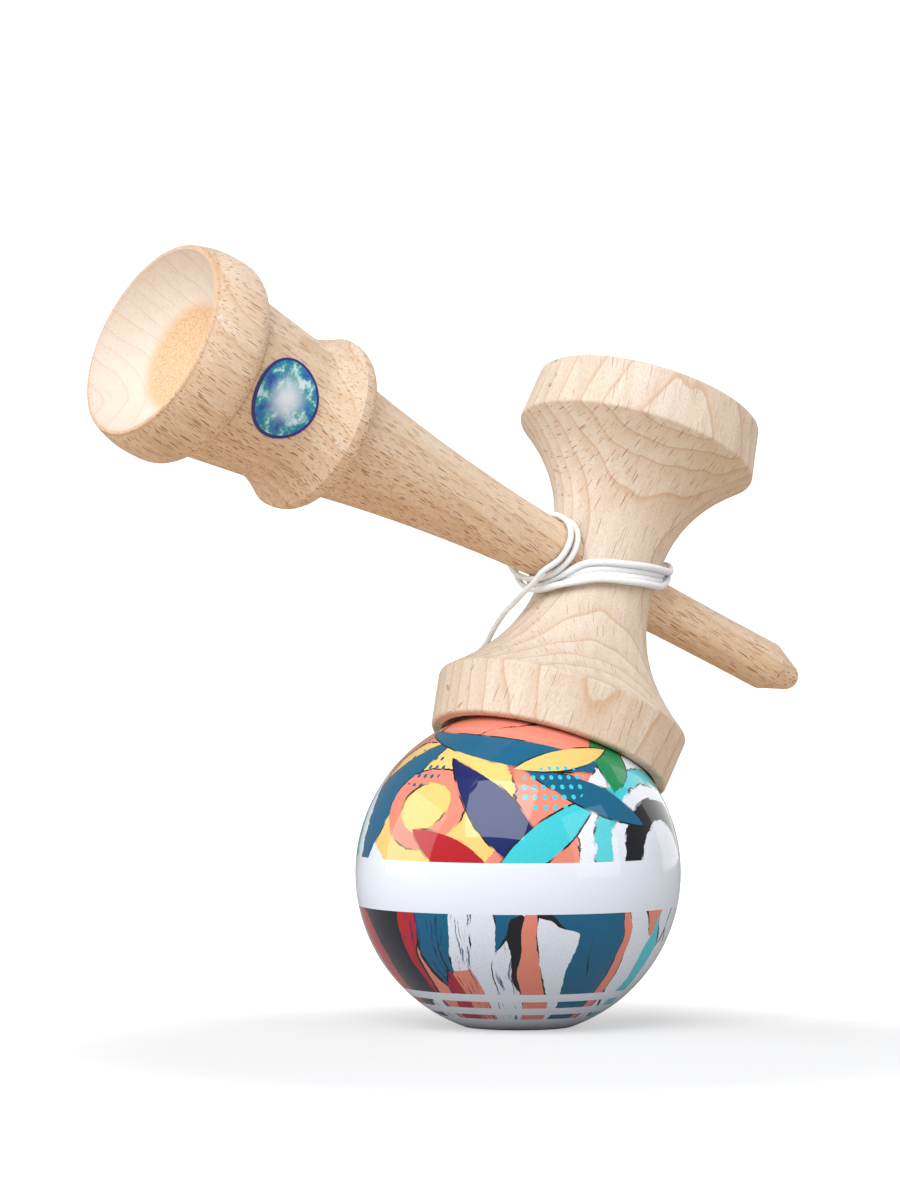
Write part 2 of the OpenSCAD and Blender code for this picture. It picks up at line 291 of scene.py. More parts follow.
@dataclass(frozen=True)
class Beech:
    """Fine-sanded beech: growth rings, ray flecks and pores in the block that the piece is turned from, with
    flecks made stronger on downward faces as painted shade.
    """

    name: str
    grain: Vector
    radial: Vector
    pale: Colour
    deep: Colour
    ring: Colour
    fleck: Colour
    fleck_strength: float
    ring_strength: float
    pith: tuple[float, float]
    fleck_length: float = 3.0
    fleck_width: float = 0.1
    fleck_gap: float = 1.0
    fleck_depth: float = 0.3
    fleck_faintest: float = 0.45
    # Share of fleck strength on upward faces; the full strength on downward faces is painted shade.
    painted_shade_fleck_top_share: float = 0.65
    fine_strength: float = 0.3
    pore_strength: float = 0.42
    ring_width: float = 3.0
    wander: float = 7.0
    waver: float = 1.6
    relief: float = 0.00007
    cup: CupWood | None = None

    def block(self, graph: Graph) -> tuple[Socket, Socket, Socket]:
        """Place in the wood block in millimetres: radial, tangential and along the grain."""
        axes = (self.radial, self.grain.cross(self.radial), self.grain)
        return tuple(graph.vector(Op.DOT, graph.place, tuple(axis / MM)) for axis in axes)

    def flecks(
        self, graph: Graph, place: Socket, cell: Point, half: Point, sizes: tuple[float, float]
    ) -> Socket:
        """Ray flecks: thin blades, one in each cell of a scattered grid.

        Args:
            graph: The material's graph.
            place: Place in the block.
            cell: Spacing of the flecks.
            half: Half size of the largest fleck.
            sizes: Least and greatest share of that size.

        Returns:
            Up to 1 in a fleck, each with its own strength, and 0 outside.
        """
        grid = graph.vector(Op.DIVIDE, place, cell)
        node = graph.cells(grid, Cell.NEAREST)
        offset = graph.vector(Op.SUBTRACT, grid, node.outputs["Position"])
        stretch = tuple(c / h for c, h in zip(cell, half))
        reach = graph.vector(Op.LENGTH, graph.vector(Op.MULTIPLY, offset, stretch))
        chance, tone, _ = graph.split(node.outputs["Color"])
        least, most = sizes
        size = graph.plus(graph.times(chance, most - least), least)
        strength = graph.lift(tone, self.fleck_faintest)
        return graph.times(graph.step(reach, size, graph.times(size, 0.6)), strength)

    def rings(self, graph: Graph, x: Socket, y: Socket, place: Socket) -> tuple[Socket, Socket]:
        """Growth rings round the pith.

        Args:
            graph: The material's graph.
            x: Radial place.
            y: Tangential place.
            place: Place in the block.

        Returns:
            The thin dark line that ends each year, and the year's slow darkening before it.
        """
        wander = graph.times(graph.waves(place, (0.06, 0.06, 0.012), 2.0), self.wander)
        flat = graph.combine(graph.minus(x, self.pith[0]), graph.minus(y, self.pith[1]))
        years = graph.plus(graph.vector(Op.LENGTH, flat), wander)
        year = graph.math(Op.FRACTION, graph.math(Op.DIVIDE, years, self.ring_width))
        end = graph.step(year, 1.0, 0.97)
        line = graph.times(graph.step(year, 0.84, 0.96), end)
        return line, graph.times(graph.step(year, 0.2, 0.95), end)

    def material(self) -> Material:
        """The wood as a material.

        Returns:
            The material.
        """
        graph = Graph(self.name)
        x, y, z = self.block(graph)
        place = graph.combine(x, y, z)
        line, late = self.rings(graph, x, y, place)
        waver = graph.times(graph.waves(place, (0.05, 0.15, 0.035), 2.0), self.waver)
        bent = graph.vector(Op.ADD, place, graph.combine(0.0, waver))
        long, wide, deep = self.fleck_length, self.fleck_width, self.fleck_depth
        cell = (deep * 2.2, wide * 2.75 * self.fleck_gap, long * 0.65)
        coarse = self.flecks(graph, bent, cell, (deep, wide, long * 0.5), (0.4, 1.0))
        moved = graph.vector(Op.ADD, bent, (31.0, 17.3, 9.1))
        fine = self.flecks(graph, moved, (0.34, 0.34, long * 0.4), (0.1, 0.1, long * 0.28), (0.3, 1.0))
        streaks = graph.waves(place, (0.35, 0.5, 0.03), 3.0)
        pores = graph.waves(place, (5.5, 5.5, 1.6), 2.0, 0.65)

        colour = graph.mix(graph.step(streaks, 0.3, 0.72), self.pale, self.deep)
        colour = graph.mix(graph.times(late, self.ring_strength * 0.45), colour, self.ring)
        colour = graph.mix(graph.times(line, self.ring_strength), colour, self.ring)
        colour = graph.mix(graph.times(graph.step(pores, 0.44, 0.7), self.pore_strength), colour, self.ring)
        rays = graph.math(Op.MAXIMUM, coarse, graph.times(fine, self.fine_strength))
        # Painted shade: flecks grow stronger on faces that point down, so the undersides read darker.
        painted_underside_shade = graph.step(graph.split(graph.facing)[2], 0.4, -0.5)
        rays = graph.times(rays, graph.lift(painted_underside_shade, self.painted_shade_fleck_top_share))
        if self.cup:
            colour, rays = self.with_cup(graph, colour, rays, line)
        colour = graph.mix(graph.times(rays, self.fleck_strength), colour, self.fleck)
        rough = graph.plus(graph.times(pores, 0.2), 0.45)
        graph.surface(Base_Color=colour, Roughness=rough, Specular_IOR_Level=0.3)
        hollow = graph.math(Op.MAXIMUM, graph.times(rays, 0.5), graph.times(pores, 0.6))
        graph.bump(graph.minus(1.0, hollow), self.relief, 0.4)
        return graph.material

    def with_cup(self, graph: Graph, colour: Socket, rays: Socket, line: Socket) -> tuple[Socket, Socket]:
        """Adds the cup's pale inside, its darker rim, its rough patch and painted shade lines in the
        shoulders' creases.

        Args:
            graph: The material's graph.
            colour: The wood's colour.
            rays: The wood's flecks.
            line: The lines of the growth rings.

        Returns:
            The colour with the cup's inside, and the flecks without most of those in the cup.
        """
        cup = self.cup
        inside = graph.math(Op.LESS, graph.away(cup.ball_centre), cup.ball_radius + 0.05 * MM)
        behind = graph.vector(Op.SUBTRACT, graph.place, tuple(cup.mouth))
        depth = graph.vector(Op.DOT, behind, tuple(cup.axis))
        rim = graph.times(graph.step(depth, 0.9 * MM, 0.2 * MM), cup.rim_share)
        colour = graph.mix(rim, colour, self.ring)
        # Painted shade: a thin dark line in each crease where a shoulder meets the next turned face.
        for crease_depth in cup.shaded_crease_depths:
            near = graph.math(Op.ABSOLUTE, graph.minus(depth, crease_depth))
            painted_crease_shade = graph.times(graph.step(near, 0.8 * MM, 0.1 * MM), cup.crease_shade_share)
            colour = graph.mix(painted_crease_shade, colour, self.ring)
        colour = graph.mix(graph.times(inside, cup.pale_share), colour, cup.pale)
        colour = graph.mix(graph.times(graph.times(inside, line), cup.ring_share), colour, self.ring)
        rays = graph.times(rays, graph.minus(1.0, graph.times(inside, cup.sanded_share)))
        speckle = graph.noise(graph.place, 2400.0, 4.0, 0.75)
        ragged = graph.plus(graph.away(cup.bottom), graph.times(speckle, cup.ragged))
        patch = graph.step(ragged, cup.patch_radius * 1.25, cup.patch_radius)
        tone = graph.mix(graph.step(speckle, 0.42, 0.66), cup.patch, cup.speck)
        return graph.mix(graph.times(patch, inside), colour, tone), rays


class Ink(Enum):
    """Print colours on the ball, in linear light."""

    WHITE = linear(236, 239, 246)
    CORAL = linear(238, 140, 116)
    TEAL = linear(16, 98, 132)
    NAVY = linear(14, 34, 96)
    YELLOW = linear(250, 205, 118)
    TURQUOISE = linear(66, 205, 214)
    RED = linear(186, 30, 36)
    GREEN = linear(20, 140, 82)
    BLACK = linear(24, 22, 24)


class Shape(Enum):
    """Outlines of the print's motifs."""

    DISC = "disc"
    LEAF = "leaf"
    DOTS = "dots"


@dataclass(frozen=True)
class Motif:
    """One flat shape of the print: a disc, a ring where it is hollow, a leaf or a field of dots. Degrees."""

    shape: Shape
    place: tuple[float, float]
    half: tuple[float, float]
    turn: float
    ink: Ink
    hollow: float = -1.0


@dataclass(frozen=True)
class BallPlace:
    """Where a point of the ball is, and the noise that roughens the print there."""

    repeats: Socket
    latitude: Socket
    narrow: Socket
    ragged: Socket
    broken: Socket
    dots: Socket


@dataclass(frozen=True)
class PrintedLacquer:
    """Gloss lacquer over an abstract print of discs, leaves, shards and dots, with plain white stripes."""

    centre: Vector
    front: Vector
    stripes: tuple[tuple[float, float], ...] = ((-11.4, 6.4), (-48.2, -44.2), (-56.3, -52.0), (-90.0, -59.6))
    repeat: float = 180.0
    dot_pitch: float = 4.0
    dot_size: float = 0.24
    outline: float = 0.7
    ragged: float = 0.16
    grain_share: float = 0.16
    motifs: tuple[Motif, ...] = (
        Motif(Shape.DISC, (-6, 46), (80, 34), 0, Ink.CORAL),
        Motif(Shape.DISC, (26, 34), (54, 33), 10, Ink.CORAL),
        Motif(Shape.DISC, (-38, 27), (33, 27), -25, Ink.YELLOW),
        Motif(Shape.LEAF, (-72, 20), (40, 11), 65, Ink.TEAL),
        Motif(Shape.LEAF, (-4, 50), (40, 6.5), -14, Ink.TEAL),
        Motif(Shape.DISC, (64, 4), (42, 42), 0, Ink.WHITE),
        Motif(Shape.DISC, (64, 4), (36, 36), 0, Ink.TURQUOISE, 0.83),
        Motif(Shape.DISC, (64, 4), (24, 24), 0, Ink.BLACK, 0.66),
        Motif(Shape.DISC, (-40, 26), (17, 15), 10, Ink.CORAL, 0.62),
        Motif(Shape.LEAF, (-8, 22), (30, 8), 128, Ink.NAVY),
        Motif(Shape.LEAF, (9, 14), (26, 6), 38, Ink.TURQUOISE),
        Motif(Shape.LEAF, (-24, 8), (20, 6), -28, Ink.RED),
        Motif(Shape.LEAF, (30, 30), (24, 5.5), 152, Ink.TEAL),
        Motif(Shape.LEAF, (52, 46), (17, 7), 60, Ink.GREEN),
        Motif(Shape.LEAF, (24, 46), (20, 4.5), 12, Ink.YELLOW),
        Motif(Shape.DOTS, (14, 34), (13, 9), 20, Ink.TURQUOISE),
        Motif(Shape.DOTS, (-52, 42), (12, 8), -20, Ink.TEAL),
    )
    shard_size: tuple[float, float] = (12.0, 62.0)
    shard_warp: float = 22.0
    shard_seed: float = 4.0
    shard_inks: tuple[Ink, ...] = (
        Ink.TEAL, Ink.RED, Ink.WHITE, Ink.BLACK, Ink.CORAL, Ink.TURQUOISE, Ink.RED, Ink.WHITE, Ink.TEAL,
        Ink.CORAL, Ink.BLACK, Ink.WHITE,
    )

    def locate(self, graph: Graph, longitude: Socket, latitude: Socket) -> BallPlace:
        """Works out what every motif reads: the place in its repeat, the ragged edges and the dots.

        Args:
            graph: The material's graph.
            longitude: Degrees round the ball from its front.
            latitude: Degrees above its equator.

        Returns:
            The place and its noise.
        """
        narrow = graph.math(Op.COSINE, graph.times(latitude, math.pi / 180))
        edge = graph.minus(graph.noise(graph.place, 420.0, 5.0, 0.65), 0.5)
        spot = [
            graph.minus(graph.math(Op.FRACTION, graph.math(Op.DIVIDE, at, self.dot_pitch)), 0.5)
            for at in (longitude, latitude)
        ]
        return BallPlace(
            graph.math(Op.DIVIDE, longitude, self.repeat), latitude, graph.times(narrow, self.repeat),
            graph.times(edge, self.ragged),
            graph.step(graph.noise(graph.place, 130.0, 2.0), 0.4, 0.55),
            graph.math(Op.LESS, graph.vector(Op.LENGTH, graph.combine(*spot)), self.dot_size),
        )

    def paint(self, graph: Graph, motif: Motif, at: BallPlace, colour: Feed) -> Socket:
        """Paints one motif over a colour, with a broken dark outline.

        Args:
            graph: The material's graph.
            motif: The motif.
            at: Place on the ball.
            colour: What lies under it.

        Returns:
            The colour with the motif.
        """
        turned = graph.math(Op.FRACTION, graph.plus(at.repeats, 0.5 - motif.place[0] / self.repeat))
        offset = graph.combine(
            graph.times(graph.minus(turned, 0.5), at.narrow),
            graph.minus(at.latitude, motif.place[1]),
        )
        cos, sin = math.cos(math.radians(motif.turn)), math.sin(math.radians(motif.turn))
        long, wide = motif.half
        u = graph.vector(Op.DOT, offset, (cos / long, sin / long, 0.0))
        v = graph.vector(Op.DOT, offset, (-sin / wide, cos / wide, 0.0))
        if motif.shape is Shape.LEAF:
            reach = graph.plus(graph.math(Op.ABSOLUTE, v), graph.times(u, u))
        else:
            reach = graph.vector(Op.LENGTH, graph.combine(u, v))
        reach = graph.plus(reach, at.ragged)
        inside = graph.between(reach, motif.hollow, 1.0)
        if motif.shape is Shape.DOTS:
            return graph.mix(graph.times(inside, at.dots), colour, motif.ink.value)
        edge = self.outline / wide
        line = graph.between(reach, motif.hollow - edge, 1.0 + edge)
        colour = graph.mix(graph.times(line, at.broken), colour, Ink.BLACK.value)
        return graph.mix(inside, colour, motif.ink.value)

    def shards(self, graph: Graph, longitude: Socket, latitude: Socket) -> Socket:
        """Narrow shards of colour with dark outlines and some brush strokes.

        Args:
            graph: The material's graph.
            longitude: Degrees round the ball from its front.
            latitude: Degrees above its equator.

        Returns:
            The shards' colour.
        """
        ragged = graph.times(graph.noise(graph.place, 900.0, 3.0, 0.7), 1.2)
        bends = []
        for shift in (0.0, 0.31):
            bend = graph.noise(graph.vector(Op.ADD, graph.place, (shift, shift, shift)), 60.0, 1.5)
            bends.append(graph.times(graph.minus(bend, 0.5), self.shard_warp))
        across = graph.plus(graph.plus(longitude, bends[0]), ragged)
        across = graph.times(across, math.pi / 180)
        up = graph.plus(latitude, bends[1])
        wide, tall = self.shard_size
        reach = 180 / (math.pi * wide)
        grid = graph.combine(
            graph.times(graph.math(Op.COSINE, across), reach),
            graph.times(graph.math(Op.SINE, across), reach),
            graph.plus(graph.math(Op.DIVIDE, up, tall), self.shard_seed),
        )
        first, _, third = graph.split(graph.cells(grid, Cell.NEAREST).outputs["Color"])
        stops = [(k / len(self.shard_inks), ink.value) for k, ink in enumerate(self.shard_inks)]
        colour = graph.ramp(first, stops, stepped=True)
        strokes = graph.waves(grid, (11.0, 11.0, 4.5), 3.0, 0.6)
        brushed = graph.times(graph.step(strokes, 0.56, 0.62), graph.math(Op.GREATER, third, 0.66))
        colour = graph.mix(graph.times(brushed, 0.85), colour, Ink.NAVY.value)
        broken = graph.times(graph.step(graph.noise(graph.place, 130.0, 2.0), 0.42, 0.6), 0.022)
        edge = graph.math(Op.LESS, graph.cells(grid, Cell.EDGE).outputs["Distance"], broken)
        return graph.mix(edge, colour, Ink.BLACK.value)

    def material(self) -> Material:
        """The lacquered print as a material.

        Returns:
            The material.
        """
        graph = Graph("printed_lacquer")
        out = graph.vector(Op.NORMALIZE, graph.vector(Op.SUBTRACT, graph.place, tuple(self.centre)))
        turn = 180 / math.pi
        latitude = graph.times(graph.math(Op.ARCSINE, graph.split(out)[2]), turn)
        side = Vector((0, 0, 1)).cross(self.front)
        ahead, aside = (graph.vector(Op.DOT, out, tuple(axis)) for axis in (self.front, side))
        longitude = graph.times(graph.math(Op.ARCTAN2, aside, ahead), turn)
        at = self.locate(graph, longitude, latitude)
        upper: Feed = Ink.WHITE.value
        for motif in self.motifs:
            upper = self.paint(graph, motif, at, upper)
        lower = self.shards(graph, longitude, latitude)
        colour = graph.mix(graph.math(Op.GREATER, latitude, 0.0), lower, upper)
        grain = graph.noise(graph.place, 3800.0, 3.0, 0.75)
        specks = graph.times(graph.step(grain, 0.46, 0.7), self.grain_share)
        colour = graph.mix(specks, colour, Ink.NAVY.value)
        for low, high in self.stripes:
            colour = graph.mix(graph.between(latitude, low, high), colour, Ink.WHITE.value)
        ripple = graph.noise(graph.place, 260.0, 2.0)
        graph.surface(
            Base_Color=colour, Roughness=0.4, Specular_IOR_Level=0.1, Coat_Weight=1.0, Coat_Roughness=0.03,
            Coat_IOR=1.42,
        )
        graph.bump(ripple, 0.00002, 0.2)
        return graph.material


@dataclass(frozen=True)
class BraidFinish:
    """White braided cord."""

    colour: Colour = linear(243, 242, 240)
    shade: Colour = linear(214, 212, 208)

    def material(self) -> Material:
        """The cord as a material.

        Returns:
            The material.
        """
        graph = Graph("white_braid")
        fibre = graph.noise(graph.place, 9000.0, 2.0, 0.6)
        colour = graph.mix(graph.times(fibre, 0.2), self.colour, self.shade)
        graph.surface(Base_Color=colour, Roughness=0.8, Sheen_Weight=0.25, Sheen_Roughness=0.5)
        graph.bump(fibre, 0.00003, 0.4)
        return graph.material


@dataclass(frozen=True)
class VinylLabel:
    """Round gloss label with a marbled face that pales to the middle and a plain border."""

    centre: Vector
    radius: float
    border_from: float = 0.93
    border: Colour = linear(46, 38, 120)
    middle: Colour = linear(240, 244, 248)
    sea: tuple[tuple[float, Colour], ...] = (
        (0.3, linear(40, 40, 130)), (0.42, linear(40, 110, 190)), (0.52, linear(30, 160, 150)),
        (0.6, linear(190, 225, 232)), (0.7, linear(245, 247, 250)),
    )

    def material(self) -> Material:
        """The label as a material.

        Returns:
            The material.
        """
        graph = Graph("vinyl_label")
        share = graph.math(Op.DIVIDE, graph.away(self.centre), self.radius)
        marble = graph.noise(graph.place, 420.0, 5.0, 0.65)
        colour = graph.mix(graph.step(share, 0.75, 0.1), graph.ramp(marble, self.sea), self.middle)
        colour = graph.mix(graph.math(Op.GREATER, share, self.border_from), colour, self.border)
        graph.surface(Base_Color=colour, Roughness=0.3, Coat_Weight=0.5, Coat_Roughness=0.1)
        graph.bump(marble, 0.00002, 0.1)
        return graph.material


def make_piece(name: str, points: Sequence[Point], faces: Sequence[Sequence[int]]) -> Thing:
    """Makes a mesh object and puts it in the scene.

    Args:
        name: The piece's name.
        points: Its corners, in metres.
        faces: The corners of each face.

    Returns:
        The object.
    """
    mesh = bpy.data.meshes.new(name)
    mesh.from_pydata(points, [], faces)
    piece = bpy.data.objects.new(name, mesh)
    bpy.context.scene.collection.objects.link(piece)
    return piece


def dress(node: str, material: Material) -> None:
    """Gives a CAD node its material and evens out the shading between its faces.

    Args:
        node: The node's name.
        material: Its finish.
    """
    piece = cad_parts[node]
    piece.data.materials.clear()
    piece.data.materials.append(material)
    weld = piece.modifiers.new("weld", "WELD")
    weld.merge_threshold = WELD_GAP
    edges = piece.modifiers.new("edges", "EDGE_SPLIT")
    edges.split_angle = SHARP_ANGLE
    piece.modifiers.new("shading", "WEIGHTED_NORMAL")
    LOG.info("dressed %s", node)


@dataclass
class Stance:
    """Where the sarado and the ken stand: the lean of the ken, the roll across it and where they cross."""

    lean: float = 23.2
    roll: float = 5.0
    ball_d: float = 60.0
    foot_d: float = 20.0
    cup_inner_d: float = 41.2
    seat_lift: float = 1.07
    seat_shift: float = 0.9
    neck_to_big: float = 36.5
    base_to_axis: float = 108.0

    def turn(self) -> Matrix:
        """The turn from the sarado's frame to the part's frame."""
        lean = Matrix.Rotation(math.radians(self.lean), 3, "Y")
        return lean @ Matrix.Rotation(math.radians(-self.roll), 3, "X")

    @property
    def ball_z(self) -> float:
        """Height of the ball's centre over the floor."""
        return math.sqrt((self.ball_d / 2) ** 2 - (self.foot_d / 2) ** 2)

    @property
    def crossing(self) -> Vector:
        """Where the axes of the ken and the sarado cross, in millimetres.

        Returns:
            The crossing in the part's frame.
        """
        seat = math.sqrt((self.ball_d / 2) ** 2 - (self.cup_inner_d / 2) ** 2) + self.seat_lift
        up = Vector((0, self.seat_shift, seat + self.neck_to_big))
        return Vector((0, 0, self.ball_z)) + self.turn() @ up

    def put(self, point: Sequence[float]) -> Vector:
        """A point of the sarado's frame in the part's frame, in millimetres."""
        return self.crossing + self.turn() @ Vector(point)


def ease(share: float) -> float:
    """A smooth step from 0 to 1."""
    held = max(0.0, min(1.0, share))
    return held * held * (3 - 2 * held)


def unit(vectors: np.ndarray) -> np.ndarray:
    """Vectors of the same ways with a length of 1."""
    return vectors / np.maximum(np.linalg.norm(vectors, axis=-1, keepdims=True), LEAST_LENGTH)


def walk(path: np.ndarray) -> np.ndarray:
    """Distance along a path at each of its points."""
    steps = np.linalg.norm(np.diff(path, axis=0), axis=1)
    return np.concatenate([[0], np.cumsum(steps)])


@dataclass
class StringCord:
    """The string: wound round the neck and the ken, then free down to the bead inside the ball. Millimetres.

    The winding has the CAD's route, and its soft turns press together where the CAD's stiff ones keep a gap.
    """

    stance: Stance
    string_d: float = 1.1
    shown_d: float = 1.1
    press: float = 0.76
    layer_press: float = 0.66
    ken_press: float = 0.5
    pitch: float = 1.62
    layer_step: float = 1.62
    layer_drop: float = 0.5
    lap: float = 0.8
    loop_pitch: float = 1.8
    loop_sway: float = 2.2
    loop_front: float = 250.0
    loop_end: float = 660.0
    loop_settle: float = 90.0
    clear: float = 0.2
    ken_clear: float = 0.3
    band_drop: float = -0.37
    band_waves: tuple[float, float, float] = (5.95, 1.15, 0.3)
    band_turns: float = 3.75
    climb: tuple[float, float] = (1.95, 0.25)
    spread_front: float = 80.0
    spread_edge: float = 0.35
    spread_fade: float = 0.45
    neck_d: float = 21.1
    flare_up: tuple[float, float, float] = (26.2, 22.7, 2.6)
    flare_down: tuple[float, float, float] = (26.5, 23.8, 2.4)
    shaft: tuple[float, float, float, float, float] = (39.9, 151.2, 12.0, 4.7, 2.87)
    knot_face: float = 7.5
    bend_r: float = 1.6
    turn_steps: int = 24
    knot_top: float = 34.685
    rise: Point = (1.148, 1.988, 3.276)
    tail: tuple[Point, ...] = (
        (0, 0, 37.4), (0, 0, 40.2), (0, 0, 43), (0, 0, 45.8), (0, 0, 48.6), (0, 0, 51.4), (0, 0, 54.2),
        (0, 0, 56.8), (0, 0.3, 57.9), (0.2, 1.1, 58.7), (0.3, 2.2, 59), (0.7, 4.8, 58.8), (1.1, 7.5, 58.2),
        (1.6, 10.4, 57.3), (2, 13.3, 56.1), (2.5, 16.1, 54.5), (2.9, 18.6, 52.6), (3.2, 21, 50.4),
        (2.8, 22.7, 48.7), (2.2, 24.3, 48), (2, 25.6, 48.6), (2.2, 26.4, 50.1), (2.7, 26.9, 52.7),
        (3, 26.9, 56.1), (3, 26.5, 59.4), (2.9, 25.4, 61.6), (2.9, 23.4, 63.4), (3.4, 20.6, 65.9),
        (3.9, 17.9, 68.4), (4.3, 15.7, 70.6), (4.1, 13.8, 72.5), (4.2, 12, 74.4), (4.4, 10.1, 76.2),
        (5.2, 8.1, 78.1), (5.3, 5.4, 79.9), (5.8, 3, 81.7), (6.6, 1.4, 83.7),
    )
    band_width: float = 1.2
    loop_width: float = 1.04
    plait_strands: int = 4
    plait_pitch: float = 3.2
    plait_relief: float = 0.09
    ring_gap: float = 0.16
    sides: int = 24
    first_side: Point = (1.0, 0.2, 0.1)
    smooth_steps: int = 24
    knot_rings: int = 160
    knot_half: float = 0.45

    def flare_r(self, z: float) -> float:
        """Radius of the sarado's neck and flares at a height on its axis."""
        length, rim, power = self.flare_up if z > 0 else self.flare_down
        return self.neck_d / 2 + (rim - self.neck_d / 2) * (abs(z) / length) ** power

    def shaft_r(self, s: float) -> float:
        """Radius of the ken's shaft.

        Args:
            s: Distance from the base cup's mouth.

        Returns:
            The radius.
        """
        start, end, thick, thin, power = self.shaft
        share = max(0.0, min(1.0, (s - start) / (end - start)))
        return thin + (thick - thin) * (1 - share) ** power

    def spread(self, t: float) -> float:
        """How far the outer turns have spread beside the inner ones, from 0 to 1."""
        ahead = math.cos(math.radians(-90 - 360 * t - self.spread_front))
        return ease((ahead - self.spread_edge) / self.spread_fade)

    def band_z(self, t: float) -> float:
        """Height of the winding on the sarado's axis after t turns.

        Args:
            t: Turns from the string hole at the back.

        Returns:
            The height.
        """
        angle = math.radians(-90 - 360 * t)
        waves = list(enumerate(self.band_waves))
        middle = self.band_drop - sum(w * math.cos((2 * k + 1) * angle) for k, w in waves)
        middle += self.ken_press * max(0.0, math.cos(angle)) ** 2
        rise = sum((2 * k + 1) * w * math.sin((2 * k + 1) * angle) for k, w in waves)
        slope = rise / (self.neck_d / 2 + self.clear + self.string_d / 2)
        if t < 2:
            offset = t - 1
        else:
            share = self.spread(t)
            beside = t - 2 + self.lap if t < 3 else t - 4 - self.lap
            offset = (1 - share) * (3 - t) + share * beside
        return middle + self.press * self.pitch * offset * math.sqrt(1 + slope ** 2)

    def band_r(self, t: float) -> float:
        """Distance of the winding from the sarado's axis after t turns.

        Args:
            t: Turns from the string hole at the back.

        Returns:
            The distance.
        """
        start, length = self.climb
        layer = ease((t - start) / length) * (self.layer_step - self.layer_drop * self.spread(t) ** 4)
        return self.flare_r(self.band_z(t)) + self.clear + self.string_d / 2 + self.layer_press * layer

    def band_point(self, t: float, r: float) -> Vector:
        """A point of the winding in the sarado's frame."""
        angle = math.radians(-90 - 360 * t)
        return Vector((-r * math.cos(angle), -r * math.sin(angle), self.band_z(t)))

    def loop_point(self, b: float) -> Vector:
        """A point of the turns round the ken, in the sarado's frame.

        Args:
            b: Degrees from the ken's underside, round its back.

        Returns:
            The point.
        """
        front = math.radians(self.loop_front)
        sway = self.loop_sway * (math.cos(math.radians(b) - front) - math.cos(front))
        start = self.band_r(self.band_turns)
        x = -start + sway - self.loop_pitch * b / 360

        def rest(at: float) -> float:
            """Distance from the ken's axis where the turn lies on the shaft."""
            return self.shaft_r(at + self.stance.base_to_axis) + self.ken_clear + self.string_d / 2

        lift = -self.band_z(self.band_turns) - rest(-start)
        r = rest(x) + lift * (1 - ease(b / self.loop_settle))
        angle = math.radians(b)
        return Vector((x, r * math.sin(angle), -r * math.cos(angle)))

    def winding(self) -> list[tuple[Vector, Vector, float]]:
        """The winding from the string hole, round the neck and round the ken, in the part's frame.

        Returns:
            Its points, each with the way out from the wood there and how much wider than round it lies.
        """
        start_r = self.band_r(0)
        turn = self.bend_r / (2 * math.pi * start_r)
        step = 1 / self.turn_steps
        band = [self.band_point(0, self.knot_face), self.band_point(0, self.knot_face + self.string_d)]
        for degrees in range(0, 91, 30):
            a = math.radians(degrees)
            band.append(self.band_point(turn * (1 - math.cos(a)), start_r - self.bend_r * (1 - math.sin(a))))
        t = turn + step
        while t <= self.band_turns:
            band.append(self.band_point(t, self.band_r(t)))
            t += step
        loops = [self.loop_point(b) for b in range(0, int(self.loop_end) - 10, 360 // self.turn_steps)]
        loops.append(self.loop_point(self.loop_end))
        marks = [(p, Vector((p.x, p.y, 0)), self.band_width) for p in band]
        marks += [(p, Vector((0, p.y, p.z)), self.loop_width) for p in loops]
        turned = self.stance.turn()
        return [(self.stance.put(p), turned @ out.normalized(), width) for p, out, width in marks]

    def route(self) -> np.ndarray:
        """The whole string from the bead's knot to the sarado's knot.

        Returns:
            Rows a ring's gap apart on one smooth curve: place in millimetres, way out, and width.
        """
        upward = Vector((0, 0, 1))
        tail = [(Vector(p), upward, 1.0) for p in ((0, 0, self.knot_top), *self.tail)]
        p = np.array([(*place, *out, width) for place, out, width in tail + self.winding()[::-1]])
        p = np.vstack([2 * p[0] - p[1], p, 2 * p[-1] - p[-2]])
        fine = []
        for k in range(1, len(p) - 2):
            a, b, c, d = p[k - 1], p[k], p[k + 1], p[k + 2]
            for u in np.linspace(0, 1, self.smooth_steps, endpoint=False):
                fine.append(0.5 * (2 * b + (c - a) * u + (2 * a - 5 * b + 4 * c - d) * u ** 2
                                   + (3 * b - a - 3 * c + d) * u ** 3))
        fine = np.array(fine + [p[-2]])
        walked = walk(fine[:, :3])
        places = np.linspace(0, walked[-1], int(walked[-1] / self.ring_gap) + 1)
        return np.stack([np.interp(places, walked, column) for column in fine.T], axis=1)

    def plait(self, along: np.ndarray, round_angle: np.ndarray) -> np.ndarray:
        """Relief of the plait: strands of two hands that pass over and under each other.

        Args:
            along: Distance along the string.
            round_angle: Angle round it.

        Returns:
            Height from 0 to 1.
        """
        twist = 2 * math.pi * along / self.plait_pitch
        left = self.plait_strands * round_angle / 2 + twist
        right = self.plait_strands * round_angle / 2 - twist
        over = 0.5 + 0.5 * np.tanh(3 * np.sin(left) * np.sin(right))
        return over * np.abs(np.cos(left)) ** 0.7 + (1 - over) * np.abs(np.cos(right)) ** 0.7

